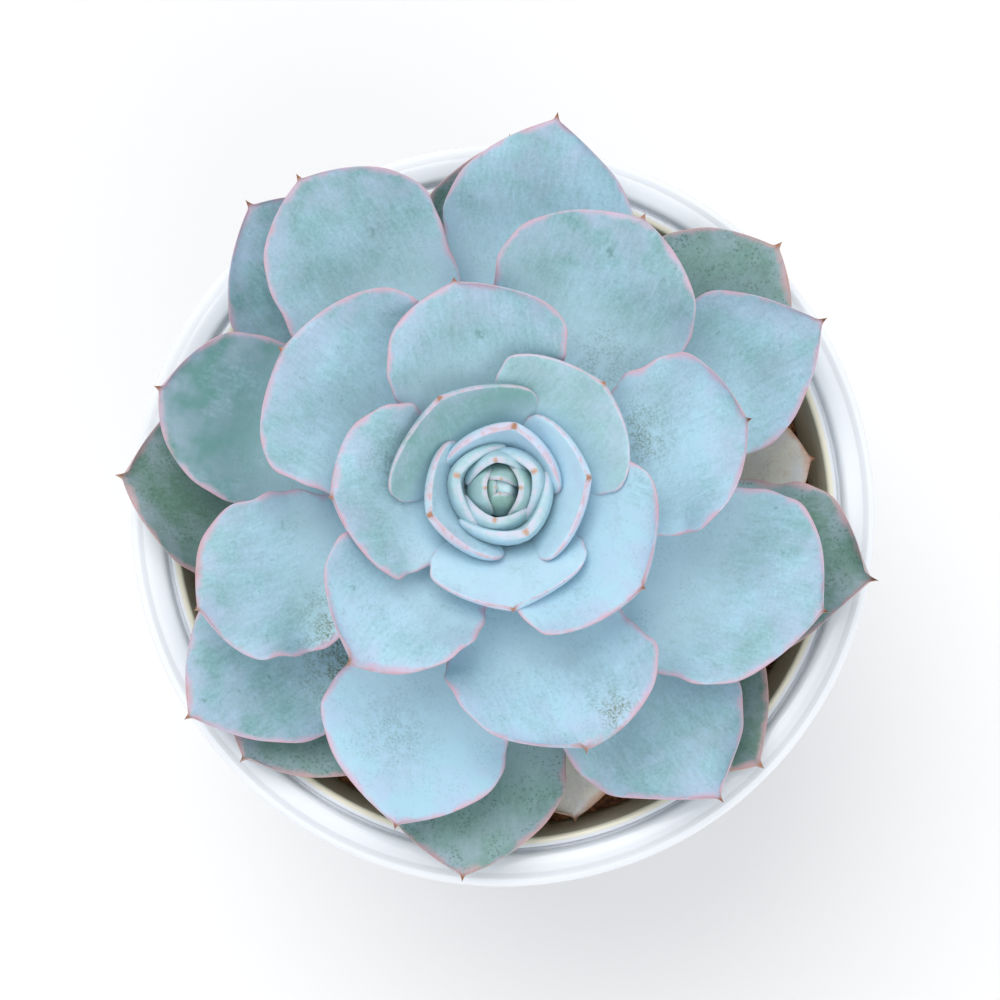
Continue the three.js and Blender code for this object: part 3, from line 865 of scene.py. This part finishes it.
# %% Pot profile
def fillet(points, radii, steps=6):
    """Rounds each corner of a polyline: the corner is replaced by a quadratic curve that
    starts and ends its radius away from it along the two sides."""
    out = []
    for k, corner in enumerate(points):
        if not radii[k]:
            out.append(corner[None])
            continue
        before, after = points[k - 1] - corner, points[(k + 1) % len(points)] - corner
        start = corner + before / np.linalg.norm(before) * radii[k]
        end = corner + after / np.linalg.norm(after) * radii[k]
        t = np.linspace(0, 1, steps)[:, None]
        out.append((1 - t) ** 2 * start + 2 * t * (1 - t) * corner + t**2 * end)
    return np.concatenate(out)


def turned(name, profile, segments, smooth=True):
    """Turns (radius, height) points in millimetres about the pot's axis. The first and last
    points lie on the axis and are the poles."""
    angle = (np.arange(segments) * 2 * np.pi / segments)[None, :]
    radius, height = profile[1:-1, 0, None], profile[1:-1, 1, None]
    grid = np.stack(
        np.broadcast_arrays(radius * np.cos(angle), radius * np.sin(angle), height), -1
    )
    ends = [np.array([0, 0, profile[k, 1]]) for k in (0, -1)]
    return tube(name, grid * MM, ends[0] * MM, ends[1] * MM, smooth)


SKIRT_DROP, BAND_DROP = 14, 3.0  # how far the band hangs, and its hollow starts, below the top
band_inner = RIM_RADIUS - RIM_BAND
band_under = POT_HEIGHT - BAND_DROP
skirt = POT_HEIGHT - SKIRT_DROP
pot_corners = np.array([
    (0, 1.2), (28, 1.2), (30, 0), (BASE_RADIUS, 0),
    (inner_wall(band_under) + WALL, band_under), (RIM_RADIUS - WALL, band_under),
    (RIM_RADIUS - WALL, skirt), (RIM_RADIUS, skirt),
    (RIM_RADIUS, POT_HEIGHT - 0.3), (RIM_RADIUS - 2.6, POT_HEIGHT),
    (band_inner + 0.25, POT_HEIGHT - 0.5), (band_inner + 0.15, POT_HEIGHT - 2.2),
    (band_inner - 0.25, POT_HEIGHT - 2.2), (band_inner - 0.35, POT_HEIGHT - LEDGE_DROP + 0.1),
    (MOUTH_RADIUS, POT_HEIGHT - LEDGE_DROP), (inner_wall(FLOOR), FLOOR), (0, FLOOR),
], float)
pot_radii = [0, 1, 1, 1.4, 1.5, 1, 0.6, 0.6, 1.9, 1.5, 0.8, 0.12, 0.12, 0.3, 0.5, 1.5, 0]
pot_profile = fillet(pot_corners, pot_radii)
POT_SEGMENTS = 240
pot = turned("glossy_pot", pot_profile, POT_SEGMENTS)
print("pot profile points:", len(pot_profile))

# %% [markdown]
# ## Drain holes
# Eight round holes in the floor let the water out. They could be left out of the profile
# only as one ring, so each is cut afterwards by a short rod with a Boolean modifier, which
# is applied at once and leaves a plain mesh.

# %% Drain holes
HOLE_COUNT, HOLE_RADIUS, HOLE_CIRCLE, HOLE_SIDES = 8, 3, 24, 24
DRILL_HEIGHTS = (-2, 5)  # from below the floor to above it, in millimetres


def drill_holes(target):
    """Cuts the ring of drain holes with a Boolean modifier, applied at once."""
    angle = np.arange(HOLE_SIDES) * 2 * np.pi / HOLE_SIDES
    ring = np.stack([HOLE_RADIUS * np.cos(angle), HOLE_RADIUS * np.sin(angle)], -1)
    for hole in range(HOLE_COUNT):
        turn = hole * 2 * math.pi / HOLE_COUNT
        middle = HOLE_CIRCLE * np.array([math.cos(turn), math.sin(turn)])
        level = [np.column_stack([ring + middle, np.full(HOLE_SIDES, z)]) for z in DRILL_HEIGHTS]
        poles = [np.append(middle, z) * MM for z in DRILL_HEIGHTS]
        drill = tube("drill", np.stack(level) * MM, *poles, smooth=False)
        cut = target.modifiers.new("drain_hole", "BOOLEAN")
        cut.operation, cut.object, cut.solver = "DIFFERENCE", drill, "EXACT"
        with bpy.context.temp_override(object=target, active_object=target):
            bpy.ops.object.modifier_apply(modifier=cut.name)
        bpy.data.objects.remove(drill)


drill_holes(pot)
pot.data.set_sharp_from_angle(angle=math.radians(50))
print("pot faces:", len(pot.data.polygons))

# %% [markdown]
# ## White plastic
# Gloss white plastic is never quite white: it takes a cool cast, has long faint ripples
# from the mould, and hair-fine scuffs that show as small changes of gloss. Inside it is
# painted cream, partly a water stain and partly painted light for the glow through the thin
# wall, and water has left soil dust above the soil line. The inside is found from the wall's
# taper, so the cream ends at the mouth.


# %% Plastic finish
# Noise scales: object coordinates are in metres, so these are cells in a metre
CLOUD, LONG_RIPPLE, SCUFF, SPLASH = 35, 40, 260, 300


def plastic_material():
    """Gloss white with a thin coat; dusty on the inside only, and painted cream there: partly a
    stain, partly painted light for the glow through the thin wall.
    """
    material, shader = new_material("white_plastic")
    tree = material.node_tree
    where = add(tree, "TexCoord").outputs["Object"]
    apart = add(tree, "SeparateXYZ", {0: where}).outputs
    height = apart["Z"]
    level = add(tree, "CombineXYZ", {"X": apart["X"], "Y": apart["Y"]}).outputs[0]
    radius = add(tree, "VectorMath", {0: level}, operation="LENGTH").outputs["Value"]
    cloudy = noise(tree, where, CLOUD, 3)
    color = blend_colors(tree, cloudy, srgb(225, 229, 236), srgb(235, 238, 244))

    # the wall's middle is as far out as its height says, and what is nearer is the inside
    taper = (inner_wall(POT_HEIGHT) - inner_wall(0)) / POT_HEIGHT
    wall_radius = math_node(tree, "MULTIPLY", height, taper)
    beyond = math_node(tree, "SUBTRACT", radius, wall_radius)
    wall_middle = (inner_wall(0) + WALL / 2) * MM
    inside = span(tree, beyond, wall_middle + 0.2 * MM, wall_middle - 0.2 * MM)
    # partly a real water stain, partly painted light: the cream stands for the glow through the
    # thin lit wall
    stain_and_glow = math_node(tree, "MULTIPLY", inside, 0.7)
    color = blend_colors(tree, stain_and_glow, color, srgb(238, 228, 192))
    splash = span(tree, noise(tree, where, SPLASH, 6, 0.7), 0.45, 0.7)
    film = span(tree, height, (POT_HEIGHT - 2) * MM, (POT_HEIGHT - 13) * MM, 0.04, 0.34)
    dirt = math_node(tree, "MULTIPLY", splash, film, inside)
    color = blend_colors(tree, dirt, color, srgb(112, 84, 54))

    # scuffs: noise drawn out along one slanting direction, rougher and a hair raised
    slant = {"Vector": where, "Scale": (1, 6, 1), "Rotation": (0.3, 0.5, 0.8)}
    stretched = add(tree, "Mapping", slant).outputs[0]
    scuffs = span(tree, noise(tree, stretched, SCUFF, 5, 0.8), 0.62, 0.72)
    dull = math_node(tree, "ADD", math_node(tree, "MULTIPLY", scuffs, 0.5), dirt)
    ripples = noise(tree, where, LONG_RIPPLE, 2)
    raised = math_node(tree, "ADD", ripples, math_node(tree, "MULTIPLY", scuffs, 0.03))
    bump = add(tree, "Bump", {"Height": raised, "Distance": 0.12 * MM, "Strength": 0.5})
    put(shader.inputs["Base Color"], color)
    put(shader.inputs["Roughness"], span(tree, dull, 0, 1, 0.2, 0.6))
    put(shader.inputs["Normal"], bump.outputs[0])
    put(shader.inputs["Subsurface Weight"], 0.2)
    put(shader.inputs["Subsurface Radius"], (1, 1, 1))
    put(shader.inputs["Subsurface Scale"], 3 * MM)
    put(shader.inputs["Coat Weight"], 0.25)
    put(shader.inputs["Coat Roughness"], 0.12)
    return material


pot.data.materials.append(plastic_material())
place(pot, "pot_plastic", "pot")
print("plastic nodes:", len(pot.data.materials[0].node_tree.nodes))

# %% [markdown]
# ## Soil
# The mix is reddish-brown peat with coir. Its bed is one closed surface: rings of points
# with random heights on top, and the pot's taper below. It is heaped up against the wall,
# as it is left when a plant is pressed in.


# %% Heights of the soil
LUMP_SIZES = ((0.7, 7, 1), (0.5, 2.6, 2), (0.3, 1.1, 3))  # height, cell in mm, seed
WALL_HEAP = 3.2  # how much higher the soil is at the wall, in millimetres
BED_SINK = 0.4  # lowers the bed by about the height of a lump


def lattice_noise(x, y, cell, seed):
    """A random number at each corner of a square grid of that cell, in millimetres, blended
    between the corners by smooth steps. Gives -1 to 1."""
    table = np.random.default_rng(seed).uniform(-1, 1, (64, 64))
    gx, gy = x / cell + 32, y / cell + 32
    ix, iy = np.floor(gx).astype(int), np.floor(gy).astype(int)
    tx, ty = (ease(v - i, 0, 1) for v, i in ((gx, ix), (gy, iy)))
    corner = lambda dx, dy: table[(ix + dx) % 64, (iy + dy) % 64]
    low = mix(corner(0, 0), corner(1, 0), tx)
    return mix(low, mix(corner(0, 1), corner(1, 1), tx), ty)


soil_edge = inner_wall(POT_HEIGHT - SOIL_DROP)


def soil_height(x, y):
    """A low mound that is heaped up again against the wall, with lumps of three sizes.
    Millimetres."""
    share = np.hypot(x, y) / soil_edge
    mound = SOIL_TOP - SOIL_MOUND * share**2 + WALL_HEAP * ease(share, 0.74, 1)
    bumps = sum(high * lattice_noise(x, y, cell, seed) for high, cell, seed in LUMP_SIZES)
    return mound + bumps - BED_SINK


BED_RINGS, BED_SEGMENTS = 110, 300
rings = np.linspace(0.01, 1, BED_RINGS)[:, None]
angle = (np.arange(BED_SEGMENTS) * 2 * np.pi / BED_SEGMENTS)[None, :]
bed_x = rings * (soil_edge - 0.05) * np.cos(angle)
bed_y = rings * (soil_edge - 0.05) * np.sin(angle)
bed_top = np.stack([bed_x, bed_y, soil_height(bed_x, bed_y)], -1)
wall_heights = np.array([60, 40, 20, FLOOR + FIT_GAP])[:, None]
wall_radii = inner_wall(wall_heights) - 0.1
bed_wall = np.stack(
    np.broadcast_arrays(wall_radii * np.cos(angle), wall_radii * np.sin(angle), wall_heights), -1
)
bed = tube(
    "soil_bed", np.concatenate([bed_top, bed_wall]) * MM,
    bed_top[0].mean(0) * MM, np.array([0, 0, FLOOR + FIT_GAP]) * MM,
)
print("soil bed faces:", len(bed.data.polygons))

# %% [markdown]
# ## Loose soil
# Crumbs of every size, pale chips of straw and orange-brown coir fibres lie on the bed. Each
# kind is one small shape, copied by numpy with its own turn, size and tone into one mesh, so
# that thousands of bits stay light. A shape has only a few dozen faces.


# %% Loose crumbs, chips and fibres
def scatter(rng, count):
    """Random places over the bed, from the stem out to the wall."""
    radius = np.sqrt(rng.uniform(8**2, (soil_edge - 1) ** 2, count))
    turn = rng.uniform(0, 2 * np.pi, count)
    return radius * np.cos(turn), radius * np.sin(turn)


def random_turns(rng, count):
    """One rotation matrix for each copy, from a random quaternion."""
    q = rng.normal(size=(count, 4))
    w, x, y, z = (q / np.linalg.norm(q, axis=1, keepdims=True)).T
    return np.stack([
        1 - 2 * (y * y + z * z), 2 * (x * y - z * w), 2 * (x * z + y * w),
        2 * (x * y + z * w), 1 - 2 * (x * x + z * z), 2 * (y * z - x * w),
        2 * (x * z - y * w), 2 * (y * z + x * w), 1 - 2 * (x * x + y * y),
    ], -1).reshape(count, 3, 3)


def copies(name, grids, poles, tones, smooth):
    """One mesh of many closed tubes: grids (count, rows, columns, 3), poles (count, 2, 3)."""
    count, rows, columns = grids.shape[:3]
    points = np.concatenate([grids.reshape(count, -1, 3), poles], 1)
    quads, triangles = tube_faces(rows, columns)
    if enclosed_volume(points[0] - points[0].mean(0), quads, triangles) < 0:
        quads, triangles = quads[:, ::-1], triangles[:, ::-1]
    step = np.arange(count)[:, None, None] * points.shape[1]
    piece = link_mesh(
        name, points.reshape(-1, 3) * MM, (quads + step).reshape(-1, 4),
        (triangles + step).reshape(-1, 3), smooth,
    )
    set_attribute(piece, "tone", np.repeat(tones, points.shape[1]))
    return piece


def lumps(name, seed, count, sizes, stretch):
    """Angular pebbles: a 4 x 7 sphere grid with every point pushed in or out at random."""
    rng = np.random.default_rng(seed)
    lat = np.linspace(0, np.pi, 6)[1:-1, None]
    lon = (np.arange(7) * 2 * np.pi / 7)[None, :]
    ball = np.stack(
        np.broadcast_arrays(np.sin(lat) * np.cos(lon), np.sin(lat) * np.sin(lon), np.cos(lat)), -1
    )
    points = np.concatenate([ball.reshape(-1, 3), [[0, 0, 1], [0, 0, -1]]])[None]
    points = points * rng.uniform(0.7, 1.25, (count, points.shape[1], 1)) * np.array(stretch)
    size = mix(*sizes, rng.uniform(0, 1, (count, 1, 1)) ** 2.5)
    points = np.einsum("nij,nkj->nki", random_turns(rng, count), points) * size
    x, y = scatter(rng, count)
    raised = size[:, 0, 0] * rng.uniform(0, 0.7, count)
    middle = np.stack([x, y, soil_height(x, y) + raised], -1)
    points = points + middle[:, None]
    grids, tones = points[:, :-2].reshape(count, 4, 7, 3), rng.uniform(0, 1, count)
    return copies(name, grids, points[:, -2:], tones, False)


FIBRE_POINTS = 12


def fibres(name, seed, count):
    """Thin bent hairs: each a circular arc on the soil, with a tube of five sides."""
    rng = np.random.default_rng(seed)
    t = np.linspace(0, 1, FIBRE_POINTS)[None, :]
    length, bend = rng.uniform(4, 15, (count, 1)), rng.normal(0, 1.1, (count, 1))
    heading = rng.uniform(0, 2 * np.pi, (count, 1)) + bend * t
    step = length / (FIBRE_POINTS - 1)
    x0, y0 = scatter(rng, count)
    x = x0[:, None] + np.cumsum(step * np.cos(heading), 1) - length / 2 * np.cos(heading[:, 5:6])
    y = y0[:, None] + np.cumsum(step * np.sin(heading), 1) - length / 2 * np.sin(heading[:, 5:6])
    far = np.maximum(np.hypot(x, y) / (soil_edge - 0.8), 1)
    x, y = x / far, y / far
    thick = rng.uniform(0.07, 0.17, (count, 1)) * np.sin(np.pi * mix(0.12, 0.88, t)) ** 0.4
    arch = rng.uniform(0, 1.3, (count, 1)) * np.sin(np.pi * t)
    z = soil_height(x, y) + 0.35 + thick + arch
    around = (np.arange(5) * 2 * np.pi / 5)[None, None, :]
    sideways, upwards = thick[..., None] * np.cos(around), thick[..., None] * np.sin(around)
    grids = np.stack([
        x[..., None] - sideways * np.sin(heading)[..., None],
        y[..., None] + sideways * np.cos(heading)[..., None],
        z[..., None] + upwards,
    ], -1)
    centre = np.stack([x, y, z], -1)
    return copies(name, grids, centre[:, [0, -1]], rng.uniform(0, 1, count), True)


# seed, count, smallest and largest size in millimetres, and stretch along three axes
crumbs = lumps("soil_crumbs", 11, 1100, (0.35, 1.9), (1, 0.85, 0.7))
chips = lumps("straw_chips", 12, 70, (0.3, 1.1), (1.6, 0.5, 0.22))
coir = fibres("coir_fibres", 13, 600)
print("loose soil faces:", sum(len(o.data.polygons) for o in (crumbs, chips, coir)))

# %% [markdown]
# ## Earth finishes
# Peat, straw, coir and bark are all matt and grainy, and differ in their shades. One function
# makes them: a colour ramp over three shades, fed by each loose bit's own tone, or by noise
# on a piece that is all one mass.


# %% Earth finishes
EARTH_GRAIN = 900  # noise cells in a metre


def earth_material(name, dark, middle, light, from_tone):
    """Matt earth. Its colour runs over three shades, by each bit's own tone or by noise."""
    material, shader = new_material(name)
    tree = material.node_tree
    where = add(tree, "TexCoord").outputs["Object"]
    grain = noise(tree, where, EARTH_GRAIN, 6, 0.7)
    if from_tone:
        tone = math_node(tree, "ADD", stored(tree, "tone"), swing(tree, grain, 0.5))
    else:
        tone = span(tree, grain, 0.3, 0.7)
    ramp = add(tree, "ValToRGB", {"Fac": tone})
    shades = ramp.color_ramp.elements
    shades[0].color, shades[1].color = srgb(*dark), srgb(*light)
    shades.new(0.55).color = srgb(*middle)
    put(shader.inputs["Base Color"], ramp.outputs[0])
    put(shader.inputs["Roughness"], span(tree, grain, 0.2, 0.8, 0.75, 0.98))
    bump = add(tree, "Bump", {"Height": grain, "Distance": 0.3 * MM, "Strength": 0.8})
    put(shader.inputs["Normal"], bump.outputs[0])
    return material


earths = {
    "peat": (bed, (64, 36, 22), (124, 76, 48), (178, 122, 78)),
    "peat_crumbs": (crumbs, (54, 32, 20), (136, 84, 52), (204, 144, 94)),
    "straw": (chips, (140, 104, 66), (196, 164, 118), (226, 204, 166)),
    "coir": (coir, (120, 62, 30), (188, 108, 56), (230, 168, 104)),
}
for name, (piece, dark, middle, light) in earths.items():
    loose = piece is not bed
    piece.data.materials.append(earth_material(name, dark, middle, light, loose))
place(bed, "potting_soil", "soil")
for piece in (crumbs, chips, coir):
    place(piece, "potting_soil")
print("earth finishes:", sorted(earths))

# %% [markdown]
# ## Stem
# The stem is short and hidden by the leaves. Its bark carries the scars of the leaves that
# have dropped, so rows of low ridges run round it.

# %% Stem
STEM_ROWS, STEM_COLUMNS = 60, 40
SCAR_DEPTH = 0.04  # as a share of the stem's radius
stem_rows = np.linspace(0, 1, STEM_ROWS)[:, None]
stem_angle = (np.arange(STEM_COLUMNS) * 2 * np.pi / STEM_COLUMNS)[None, :]
stem_low, stem_top = SOIL_TOP - STEM_BURIED, foot_height(1)
stem_shoulder = foot_height(TAPER_COUNT + 1)
stem_z = mix(stem_low, stem_top, stem_rows)
taper = np.clip((stem_z - stem_shoulder) / (stem_top - stem_shoulder), 0, 1)
scars = 1 + SCAR_DEPTH * np.sin(stem_z * 5 + 3 * stem_angle)
stem_r = mix(STEM_RADIUS, STEM_TIP, taper) * scars
stem_x, stem_y = PLANT_X + stem_r * np.cos(stem_angle), PLANT_Y + stem_r * np.sin(stem_angle)
stem_ends = [np.array([PLANT_X, PLANT_Y, end]) * MM for end in (stem_low, stem_top)]
stem_grid = np.stack(np.broadcast_arrays(stem_x, stem_y, stem_z), -1)
stem = tube("woody_stem", stem_grid * MM, *stem_ends)
bark = earth_material("bark", (84, 96, 70), (120, 130, 96), (156, 160, 124), False)
stem.data.materials.append(bark)
place(stem, "stem_bark", "stem")
print("stem from", round(stem_low, 1), "to", round(stem_top, 1), "mm")

# %% [markdown]
# ## Floor
# A plain white floor, wide enough to fill every view. It isn't part of the object.


# %% Floor
FLOOR_HALF = 15.0  # metres


def make_floor():
    """One square face at the height of the pot's underside."""
    half = FLOOR_HALF
    corners = np.array([(-half, -half, 0), (half, -half, 0), (half, half, 0), (-half, half, 0)])
    floor = link_mesh("floor", corners, np.array([[0, 1, 2, 3]]), np.zeros((0, 3), int), False)
    material, shader = new_material("floor_white")
    put(shader.inputs["Base Color"], (0.78, 0.78, 0.785, 1))
    put(shader.inputs["Roughness"], 0.8)
    floor.data.materials.append(material)


make_floor()
made = [o for o in scene.objects if o.type == "MESH" and o.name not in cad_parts]
print("made here, with the floor:", len(made))
